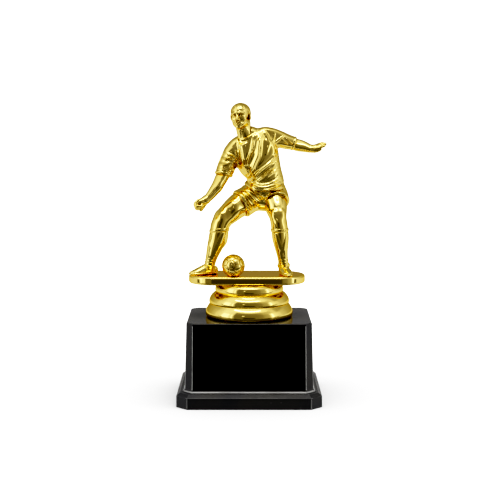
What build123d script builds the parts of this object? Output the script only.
# Figure trophy: a gold-finished footballer on a slotted platform and a three-tier riser,
# drawn down onto a black moulded pedestal by one M6 stud.
#
# Frame: millimetres, +Z up, -Y is the front (the side the footballer faces), +X is to the
# right when the trophy is looked at from the front. The origin is on the surface the trophy
# stands on, under the axis of the stud.

import os
from math import atan2, degrees, radians, sqrt, tan

from build123d import *

os.makedirs("parts", exist_ok=True)

# ---------------------------------------------------------------- driving dimensions
# pedestal shell (black moulding, open underneath)
PLINTH_X, PLINTH_Y = 70.0, 60.0        # foot of the pedestal
PLINTH_EDGE_H = 5.6                    # upright edge of the foot
PLINTH_TOP_H = 6.9                     # inner, higher side of the sloped ledge
PLINTH_LEDGE = 1.8                     # width of the sloped ledge
PLINTH_CORNER = 5.4                    # 45 degree corner cut of the foot
BLOCK_X, BLOCK_Y = 60.35, 49.25        # block, at its top face
BLOCK_CORNER = 3.2                     # 45 degree corner cut of the block
PEDESTAL_H = 40.4                      # top face of the block
DRAFT = 1.5                            # moulding draft of the block, degrees
COVE_R = 1.95                          # hollow curve between ledge and block
BLOCK_EDGE_R = 0.6                     # softened top edge
ARRIS_R = 0.8                          # softened upright arrises of the block
WALL = 2.1                             # pedestal wall
TOP_WALL = 2.4
RIB_T = 1.6                            # cross ribs under the top wall
RIB_BOTTOM_Z = 30.0
STUD_HOLE_R = 3.3                      # clearance for the stud

# ballast plate and fasteners
BALLAST_X, BALLAST_Y, BALLAST_T = 48.0, 38.0, 3.0
STUD_R = 3.0                           # M6
STUD_BOTTOM_Z, STUD_TOP_Z = 17.0, 57.0
NUT_AF, NUT_H = 10.0, 5.0
NUT_BORE_R = 3.03
WASHER_R, WASHER_T = 6.0, 1.6
SPRING_WASHER_R, SPRING_WASHER_T = 5.0, 1.6

# riser (three rounded tiers)
RISER_H = 16.7
RISER_Z = PEDESTAL_H
RISER_WALL = 1.8

# platform under the footballer
PLAT_L, PLAT_W, PLAT_T = 57.7, 26.4, 4.3
PLAT_X = -1.15                         # its centre stands off the stud axis
PLAT_Z = RISER_Z + RISER_H             # underside
PLAT_TOP = PLAT_Z + PLAT_T
PLAT_EDGE_R = 1.35
PLAT_SKIN = 1.7
BOSS_R, BOSS_DEPTH = 7.4, 9.0          # boss that holds the captive nut
NUT_POCKET_Z = PLAT_Z - 6.6            # underside of the captive nut

# football
BALL_R = 5.65
BALL_C = (-7.7, -8.6, 66.4)              # a little of the ball is cut away where it sits

# pegs that locate the mouldings on the platform
PEG_R, PEG_L, PEG_GAP = 1.3, 2.6, 0.03
FOOT_R_PEG = (-21.6, -1.6)             # under the footballer's right foot
FOOT_L_PEG = (17.4, -3.6)              # under the left foot
BALL_PEG = (BALL_C[0], BALL_C[1])


# ---------------------------------------------------------------- pedestal shell
def block_half(z):
    """Half width and half depth of the drafted block at height z."""
    grow = (PEDESTAL_H - z) * tan(radians(DRAFT))
    return BLOCK_X / 2 + grow, BLOCK_Y / 2 + grow


def cut_corner(hx, hy, c):
    """Outline of a rectangle with its four corners cut at 45 degrees."""
    return [
        (hx - c, -hy), (hx, -hy + c), (hx, hy - c), (hx - c, hy),
        (-hx + c, hy), (-hx, hy - c), (-hx, -hy + c), (-hx + c, -hy), (hx - c, -hy),
    ]


FOOT_Z = 6.2                           # where the block meets the ledge
bx0, by0 = block_half(FOOT_Z)
k = 2 - sqrt(2)                        # growth of a 45 degree cut per unit of offset

with BuildPart() as pedestal_shell:
    # foot: upright edge
    with BuildSketch(Plane.XY):
        with BuildLine():
            Polyline(*cut_corner(PLINTH_X / 2, PLINTH_Y / 2, PLINTH_CORNER))
        make_face()
    extrude(amount=PLINTH_EDGE_H)
    # foot: sloped ledge
    with BuildSketch(Plane.XY.offset(PLINTH_EDGE_H)):
        with BuildLine():
            Polyline(*cut_corner(PLINTH_X / 2, PLINTH_Y / 2, PLINTH_CORNER))
        make_face()
    extrude(amount=PLINTH_TOP_H - PLINTH_EDGE_H, taper=degrees(atan2(PLINTH_LEDGE, PLINTH_TOP_H - PLINTH_EDGE_H)))
    # drafted block
    z0 = PLINTH_TOP_H
    bx, by = block_half(z0)
    with BuildSketch(Plane.XY.offset(z0)):
        with BuildLine():
            Polyline(*cut_corner(bx, by, BLOCK_CORNER + (bx - BLOCK_X / 2) * k))
        make_face()
    extrude(amount=PEDESTAL_H - z0, taper=DRAFT)
    # softened upright arrises of the block
    upright = pedestal_shell.edges().filter_by(lambda e: e.length > 20 and abs(e.tangent_at(0.5).Z) > 0.9)
    fillet(upright, ARRIS_R)
    # hollow curve where the block rises from the ledge
    ring = pedestal_shell.edges().filter_by_position(Axis.Z, z0 - 0.05, z0 + 0.05)
    ring = ring.filter_by(lambda e: abs(e.center().X) < bx + 0.2 and abs(e.center().Y) < by + 0.2)
    fillet(ring, COVE_R)
    # softened arrises
    fillet(pedestal_shell.edges().group_by(Axis.Z)[-1], BLOCK_EDGE_R)
    fillet(pedestal_shell.edges().filter_by_position(Axis.Z, PLINTH_EDGE_H - 0.05, PLINTH_EDGE_H + 0.05), 0.6)
    # cavity of the foot
    with BuildSketch(Plane.XY):
        with BuildLine():
            Polyline(*cut_corner(PLINTH_X / 2 - WALL, PLINTH_Y / 2 - WALL, PLINTH_CORNER - WALL * k))
        make_face()
    extrude(amount=3.8, mode=Mode.SUBTRACT)
    # cavity of the block, with the same draft
    ix, iy = block_half(0.0)
    with BuildSketch(Plane.XY):
        with BuildLine():
            Polyline(*cut_corner(ix - WALL, iy - WALL, BLOCK_CORNER + (ix - BLOCK_X / 2 - WALL) * k))
        make_face()
    top_cavity = PEDESTAL_H - TOP_WALL
    tx, ty = block_half(top_cavity)
    extrude(amount=top_cavity, taper=DRAFT, mode=Mode.SUBTRACT)
    # cross ribs and stud boss under the top wall, trimmed to the cavity
    with BuildSketch(Plane.XY.offset(RIB_BOTTOM_Z)):
        Rectangle(2 * tx - 2 * WALL + 1.0, RIB_T)
        Rectangle(RIB_T, 2 * ty - 2 * WALL + 1.0)
        with Locations((0, 13.0), (0, -13.0)):
            Rectangle(2 * tx - 2 * WALL + 1.0, RIB_T)
        with Locations((16.0, 0), (-16.0, 0)):
            Rectangle(RIB_T, 2 * ty - 2 * WALL + 1.0)
        Circle(7.0)
    extrude(amount=top_cavity - RIB_BOTTOM_Z + 0.2)
    # hole for the stud
    with BuildSketch(Plane.XY.offset(RIB_BOTTOM_Z - 1)):
        Circle(STUD_HOLE_R)
    extrude(amount=PEDESTAL_H - RIB_BOTTOM_Z + 2, mode=Mode.SUBTRACT)
pedestal_shell.part.label = "pedestal_shell"
export_step(pedestal_shell.part, "parts/pedestal_shell.step")

# ---------------------------------------------------------------- ballast plate
BALLAST_Z = RIB_BOTTOM_Z - BALLAST_T
with BuildPart() as ballast_plate:
    with BuildSketch(Plane.XY.offset(BALLAST_Z)):
        RectangleRounded(BALLAST_X, BALLAST_Y, 2.0)
        Circle(STUD_HOLE_R, mode=Mode.SUBTRACT)
    extrude(amount=BALLAST_T)
    chamfer(ballast_plate.edges().group_by(Axis.Z)[0].filter_by(lambda e: e.length > 8 and e.center().length > 15 or e.length > 30), 0.3)
ballast_plate.part.label = "ballast_plate"
export_step(ballast_plate.part, "parts/ballast_plate.step")

# ---------------------------------------------------------------- fasteners
WASHER_Z = BALLAST_Z - WASHER_T
with BuildPart() as plain_washer:
    with BuildSketch(Plane.XY.offset(WASHER_Z)):
        Circle(WASHER_R)
        Circle(3.2, mode=Mode.SUBTRACT)
    extrude(amount=WASHER_T)
plain_washer.part.label = "plain_washer"
export_step(plain_washer.part, "parts/plain_washer.step")

SPRING_Z = WASHER_Z - SPRING_WASHER_T
with BuildPart() as spring_washer:
    with BuildSketch(Plane.XY.offset(SPRING_Z)):
        Circle(SPRING_WASHER_R)
        Circle(3.1, mode=Mode.SUBTRACT)
    extrude(amount=SPRING_WASHER_T)
    # the slanted split of a spring washer, pressed flat
    with BuildSketch(Plane.XZ.offset(2.5)):
        with BuildLine():
            Polyline((-0.9, SPRING_Z - 0.5), (-0.3, SPRING_Z - 0.5), (0.9, SPRING_Z + 2.1),
                     (0.3, SPRING_Z + 2.1), (-0.9, SPRING_Z - 0.5))
        make_face()
    extrude(amount=4.0, mode=Mode.SUBTRACT)
spring_washer.part.label = "spring_washer"
export_step(spring_washer.part, "parts/spring_washer.step")

HEX_R = NUT_AF / sqrt(3)               # corner radius of an M6 nut
NUT_Z = SPRING_Z - NUT_H
with BuildPart() as hex_nut:
    with BuildSketch(Plane.XY.offset(NUT_Z)):
        RegularPolygon(HEX_R, 6)
    extrude(amount=NUT_H)
    # corner bevels of both faces
    with BuildSketch(Plane.XZ):
        with BuildLine():
            Polyline((0, NUT_Z), (4.75, NUT_Z), (5.9, NUT_Z + 0.62), (5.9, NUT_Z + NUT_H - 0.62),
                     (4.75, NUT_Z + NUT_H), (0, NUT_Z + NUT_H), (0, NUT_Z))
        make_face()
    revolve(axis=Axis.Z, mode=Mode.INTERSECT)
    with BuildSketch(Plane.XY.offset(NUT_Z - 1)):
        Circle(NUT_BORE_R)
    extrude(amount=NUT_H + 2, mode=Mode.SUBTRACT)
hex_nut.part.label = "hex_nut"
export_step(hex_nut.part, "parts/hex_nut.step")

with BuildPart() as tie_stud:
    with BuildSketch(Plane.XY.offset(STUD_BOTTOM_Z)):
        Circle(STUD_R)
    extrude(amount=STUD_TOP_Z - STUD_BOTTOM_Z)
    chamfer(tie_stud.edges().filter_by(GeomType.CIRCLE), 0.6)
tie_stud.part.label = "tie_stud"
export_step(tie_stud.part, "parts/tie_stud.step")

with BuildPart() as captive_nut:
    with BuildSketch(Plane.XY.offset(NUT_POCKET_Z)):
        RegularPolygon(HEX_R, 6)
        Circle(NUT_BORE_R, mode=Mode.SUBTRACT)
    extrude(amount=NUT_H)
captive_nut.part.label = "captive_nut"
export_step(captive_nut.part, "parts/captive_nut.step")

# ---------------------------------------------------------------- riser
# outer profile (radius, height above the pedestal): three rounded tiers with creases between
R0 = [(20.8, 0.0), (21.35, 0.6), (21.65, 1.7), (21.6, 2.8), (21.3, 3.8), (20.85, 4.7), (20.35, 5.5), (19.6, 6.5)]
R1 = [(19.6, 6.5), (19.85, 6.95), (19.95, 7.7), (19.8, 8.7), (19.4, 9.6), (18.8, 10.5), (18.0, 11.4), (16.6, 12.35)]
R2 = [(16.6, 12.35), (16.85, 12.8), (16.95, 13.5), (16.85, 14.4), (16.55, 15.3), (16.0, 16.05), (15.1, RISER_H)]
with BuildPart() as riser:
    with BuildSketch(Plane.XZ):
        with BuildLine():
            Spline(*[(r, RISER_Z + h) for r, h in R0])
            Spline(*[(r, RISER_Z + h) for r, h in R1])
            Spline(*[(r, RISER_Z + h) for r, h in R2])
            Line((15.1, RISER_Z + RISER_H), (BOSS_R + 0.25, RISER_Z + RISER_H))
            Line((BOSS_R + 0.25, RISER_Z + RISER_H), (BOSS_R + 0.25, RISER_Z + RISER_H - 2.2))
            Line((BOSS_R + 0.25, RISER_Z + RISER_H - 2.2), (13.8, RISER_Z + RISER_H - 2.2))
            Polyline((13.8, RISER_Z + RISER_H - 2.2), (14.6, RISER_Z + 12.2), (16.2, RISER_Z + 9.6),
                     (17.4, RISER_Z + 6.4), (18.6, RISER_Z + 3.4), (18.6, RISER_Z))
            Line((18.6, RISER_Z), (20.8, RISER_Z))
        make_face()
    revolve(axis=Axis.Z)
    # stiffening ribs from the top disc down the inside of the wall
    with BuildSketch(Plane.XY.offset(RISER_Z + 9.0)):
        with PolarLocations(12.5, 6, start_angle=30):
            Rectangle(6.0, 1.3)
    extrude(amount=RISER_H - 10.0)
riser.part.label = "riser"
export_step(riser.part, "parts/riser.step")

# ---------------------------------------------------------------- platform
with BuildPart() as platform:
    with BuildSketch(Plane.XY.offset(PLAT_Z)):
        with Locations((PLAT_X, 0)):
            SlotOverall(PLAT_L, PLAT_W)
    extrude(amount=PLAT_T)
    fillet(platform.edges().group_by(Axis.Z)[-1], PLAT_EDGE_R)
    fillet(platform.edges().group_by(Axis.Z)[0], 1.1)
    # cored underside
    with BuildSketch(Plane.XY.offset(PLAT_Z)):
        with Locations((PLAT_X, 0)):
            SlotOverall(PLAT_L - 4.6, PLAT_W - 4.6)
    extrude(amount=PLAT_T - PLAT_SKIN, mode=Mode.SUBTRACT)
    # ribs in the core
    with BuildSketch(Plane.XY.offset(PLAT_Z)):
        with Locations((PLAT_X, 0)):
            Rectangle(PLAT_L - 4.4, 1.3)
        with Locations((-21.6, 0), (-10.4, 0), (10.4, 0), (18.4, 0)):
            Rectangle(1.3, 19.0)
    extrude(amount=PLAT_T - PLAT_SKIN + 0.2)
    # boss for the captive nut, and the bosses round the pegs
    with BuildSketch(Plane.XY.offset(PLAT_Z - BOSS_DEPTH)):
        Circle(BOSS_R)
    extrude(amount=BOSS_DEPTH + PLAT_T - 1.0)
    with BuildSketch(Plane.XY.offset(PLAT_Z + 0.4)):
        with Locations(FOOT_R_PEG, FOOT_L_PEG, BALL_PEG):
            Circle(PEG_R + 1.3)
    extrude(amount=PLAT_T - 1.4)
    # stud hole, blind, and the hexagonal pocket moulded round the nut
    with BuildSketch(Plane.XY.offset(PLAT_Z - BOSS_DEPTH - 1)):
        Circle(STUD_HOLE_R)
    extrude(amount=BOSS_DEPTH + 1 + 1.4, mode=Mode.SUBTRACT)
    with BuildSketch(Plane.XY.offset(NUT_POCKET_Z)):
        RegularPolygon(HEX_R, 6)
    extrude(amount=NUT_H, mode=Mode.SUBTRACT)
    # peg holes
    with BuildSketch(Plane.XY.offset(PLAT_TOP - PEG_L - 0.3)):
        with Locations(FOOT_R_PEG, FOOT_L_PEG, BALL_PEG):
            Circle(PEG_R + PEG_GAP)
    extrude(amount=PEG_L + 1.0, mode=Mode.SUBTRACT)
platform.part.label = "platform"
export_step(platform.part, "parts/platform.step")

# ---------------------------------------------------------------- football
with BuildPart() as football:
    with BuildSketch(Plane((BALL_C[0], BALL_C[1], 0), x_dir=(1, 0, 0), z_dir=(0, -1, 0))):
        with BuildLine():
            seat_r = sqrt(BALL_R ** 2 - (BALL_C[2] - PLAT_TOP) ** 2)
            Polyline((0, BALL_C[2] + BALL_R), (0, PLAT_TOP - PEG_L), (PEG_R, PLAT_TOP - PEG_L), (PEG_R, PLAT_TOP),
                     (seat_r, PLAT_TOP))
            ThreePointArc((seat_r, PLAT_TOP), (BALL_R, BALL_C[2]), (0, BALL_C[2] + BALL_R))
        make_face()
    revolve(axis=Axis((BALL_C[0], BALL_C[1], 0), (0, 0, 1)))
football.part.label = "football"
export_step(football.part, "parts/football.step")


# ---------------------------------------------------------------- footballer
# Each limb is a loft through elliptical sections: (x, y, z, half width, half depth).
# The half width lies along X as nearly as the section allows.
TORSO = [
    (6.4, 3.2, 97.4, 8.6, 6.6), (6.8, 3.3, 101.5, 10.8, 8.0), (7.4, 2.2, 106.6, 9.7, 7.2),
    (6.2, 0.6, 111.8, 10.0, 7.4), (3.9, -1.0, 117.5, 11.3, 8.0), (2.0, -1.9, 122.8, 11.6, 7.6),
    (0.5, -2.3, 127.2, 9.4, 5.8), (-0.9, -2.6, 130.4, 4.6, 3.9),
]
NECK = [(-0.6, -2.4, 127.5, 4.2, 4.0), (-1.9, -3.4, 131.5, 3.5, 3.7), (-3.2, -4.3, 135.5, 3.4, 3.7)]
HEAD = [
    (-4.1, -8.6, 132.45, 1.7, 1.3), (-4.0, -7.4, 133.4, 3.0, 3.2), (-3.9, -6.4, 135.0, 3.9, 4.7),
    (-3.9, -5.5, 137.6, 4.6, 5.7), (-4.0, -5.1, 140.4, 4.8, 6.0), (-4.1, -4.9, 142.6, 4.2, 5.2),
    (-4.3, -4.9, 144.1, 2.9, 3.6), (-4.35, -4.9, 144.95, 1.1, 1.4),
]
ARM_R = [  # the footballer's right arm, hanging and bent
    (-3.6, -2.0, 126.2, 2.6, 2.8), (-6.0, -2.1, 124.4, 4.2, 4.5), (-8.2, -2.2, 121.8, 4.7, 4.9), (-10.0, -2.9, 116.8, 4.6, 4.8),
    (-11.4, -3.8, 111.9, 4.0, 4.0), (-13.2, -4.8, 108.3, 3.3, 3.3), (-15.2, -5.8, 105.1, 3.1, 3.1),
    (-17.4, -6.8, 101.7, 2.7, 2.7), (-20.0, -7.8, 98.4, 2.0, 2.3),
]
FIST_R = [
    (-19.8, -7.7, 98.6, 2.0, 2.2), (-21.4, -8.0, 97.6, 2.5, 2.6), (-23.6, -8.4, 96.3, 3.2, 3.2),
    (-26.0, -8.8, 95.0, 3.0, 3.0), (-27.8, -9.1, 94.0, 1.3, 1.3),
]
ARM_L = [  # the left arm, stretched out sideways
    (3.4, -1.8, 128.0, 2.8, 2.8), (6.4, -1.5, 128.6, 4.5, 4.5), (10.0, -0.7, 128.4, 4.8, 4.9),
    (14.0, 0.4, 127.4, 4.5, 4.6), (18.4, 1.6, 126.2, 3.9, 4.1), (22.6, 2.4, 125.1, 3.2, 3.4),
    (26.4, 2.1, 124.2, 2.8, 3.0), (30.0, 1.4, 123.2, 2.1, 2.3), (32.0, 1.0, 122.9, 1.8, 2.0),
]
HAND_L = [
    (31.2, 0.9, 122.9, 1.8, 1.9), (33.0, 0.5, 123.2, 1.6, 2.6), (35.3, 0.0, 124.2, 1.3, 2.7),
    (37.2, -0.5, 125.0, 0.9, 2.0), (38.1, -0.8, 125.3, 0.4, 0.9),
]
LEG_R = [  # right leg, out to the side with the knee bent
    (4.8, 3.2, 101.0, 5.4, 6.0), (2.6, 2.4, 98.9, 6.8, 7.3), (-1.2, 1.2, 96.9, 6.6, 7.0), (-5.6, -0.8, 94.9, 6.1, 6.4),
    (-10.0, -3.0, 91.7, 5.3, 5.6), (-13.4, -4.8, 87.7, 4.8, 4.9), (-14.5, -4.8, 83.4, 4.7, 4.8),
    (-15.6, -4.2, 79.0, 4.7, 4.8), (-17.3, -3.6, 74.2, 3.8, 4.0), (-18.6, -3.0, 70.0, 2.9, 3.1),
    (-19.6, -2.6, 66.4, 2.7, 3.1), (-20.2, -2.2, 63.8, 2.9, 2.6),
]
SHOE_R = [
    (-16.9, 0.0, 63.3, 1.5, 1.8), (-18.2, -0.5, 64.3, 2.5, 2.9), (-20.6, -1.6, 64.5, 2.6, 3.1),
    (-23.6, -2.9, 63.8, 2.7, 2.5), (-26.6, -4.0, 63.0, 2.6, 1.7), (-28.9, -4.9, 62.4, 1.3, 1.1),
]
LEG_L = [  # left leg, under the body with the knee forward
    (11.6, 3.6, 101.5, 4.8, 5.8), (12.6, 2.4, 98.9, 6.0, 6.9), (13.2, -0.6, 96.4, 5.7, 6.4), (13.8, -4.8, 92.6, 5.0, 5.6),
    (14.2, -7.8, 88.8, 4.4, 4.9), (14.9, -7.9, 84.6, 4.2, 4.6), (15.3, -6.4, 80.2, 4.2, 4.9),
    (15.7, -4.8, 75.6, 3.4, 4.2), (16.3, -3.2, 71.2, 2.7, 3.2), (16.8, -1.9, 67.0, 2.5, 3.0),
    (17.0, -1.6, 64.2, 2.6, 3.0),
]
SHORTS_R = [  # the right leg of the shorts
    (5.0, 3.2, 100.4, 6.2, 6.6), (1.6, 2.2, 98.5, 7.7, 8.1), (-2.0, 0.8, 96.7, 7.5, 7.8),
    (-4.6, -0.4, 95.5, 7.4, 7.6),
]
SHORTS_L = [  # the left leg of the shorts
    (11.4, 3.6, 100.9, 5.6, 6.4), (12.6, 2.2, 98.6, 6.8, 7.7), (13.1, 0.6, 97.2, 6.8, 7.6),
    (13.5, -1.2, 95.7, 6.7, 7.4),
]
SHOE_L = [
    (16.4, 1.4, 63.3, 1.6, 1.6), (16.6, 0.4, 64.2, 2.5, 2.7), (17.1, -2.0, 64.4, 2.6, 2.9),
    (18.0, -5.0, 63.7, 2.7, 2.4), (19.0, -8.0, 62.9, 2.5, 1.7), (19.7, -10.1, 62.4, 1.4, 1.1),
]


def section_planes(stations):
    """A plane at each station, square to the line through its neighbours."""
    pts = [Vector(*s[:3]) for s in stations]
    planes = []
    for i, p in enumerate(pts):
        along = pts[min(i + 1, len(pts) - 1)] - pts[max(i - 1, 0)]
        along = along.normalized()
        side = Vector(1, 0, 0) if abs(along.X) < 0.8 else Vector(0, 0, 1)
        side = side - along * side.dot(along)
        planes.append(Plane(origin=p, x_dir=side, z_dir=along))
    return planes


def flat_planes(stations, z_dir):
    """Parallel planes at the stations."""
    return [Plane(origin=Vector(*s[:3]), x_dir=Vector(0, 0, 1) if abs(z_dir[0]) > 0.8 else Vector(1, 0, 0), z_dir=z_dir)
            for s in stations]


with BuildPart() as player:
    # torso in shirt and shorts
    for plane, s in zip(section_planes(TORSO), TORSO):
        with BuildSketch(plane):
            Ellipse(s[3], s[4])
    loft()
    # neck
    for plane, s in zip(section_planes(NECK), NECK):
        with BuildSketch(plane):
            Ellipse(s[3], s[4])
    loft()
    # head: level sections from chin to crown
    for s in HEAD:
        with BuildSketch(Plane(origin=s[:3], x_dir=(1, 0, 0), z_dir=(0, 0, 1))):
            Ellipse(s[3], s[4])
    loft()
    # right arm and fist, both legs and the shorts over them
    for limb in (ARM_R, FIST_R, LEG_R, LEG_L, SHORTS_R, SHORTS_L):
        side = Vector(1, 0, 0)
        for plane, s in zip(section_planes(limb), limb):
            with BuildSketch(Plane(origin=plane.origin, x_dir=side - plane.z_dir * side.dot(plane.z_dir), z_dir=plane.z_dir)):
                Ellipse(s[3], s[4])
        loft()
    # left arm and open hand
    for limb in (ARM_L, HAND_L):
        side = Vector(0, 0, 1)
        for plane, s in zip(section_planes(limb), limb):
            with BuildSketch(Plane(origin=plane.origin, x_dir=side - plane.z_dir * side.dot(plane.z_dir), z_dir=plane.z_dir)):
                Ellipse(s[3], s[4])
        loft()
    # shoes, cut flat at the soles
    for shoe in (SHOE_R, SHOE_L):
        for plane, s in zip(section_planes(shoe), shoe):
            level = Vector(plane.z_dir.X, plane.z_dir.Y, 0).normalized()
            across = Vector(-level.Y, level.X, 0)
            with BuildSketch(Plane(origin=plane.origin, x_dir=across, z_dir=level)):
                Ellipse(s[3], s[4])
        loft()
    with BuildSketch(Plane.XY.offset(PLAT_TOP)):
        Rectangle(90, 60)
    extrude(amount=-8, mode=Mode.SUBTRACT)
    # locating pegs under the soles
    with BuildSketch(Plane.XY.offset(PLAT_TOP - PEG_L)):
        with Locations(FOOT_R_PEG, FOOT_L_PEG):
            Circle(PEG_R)
    extrude(amount=PEG_L + 1.0)
player.part.label = "player"
export_step(player.part, "parts/player.step")
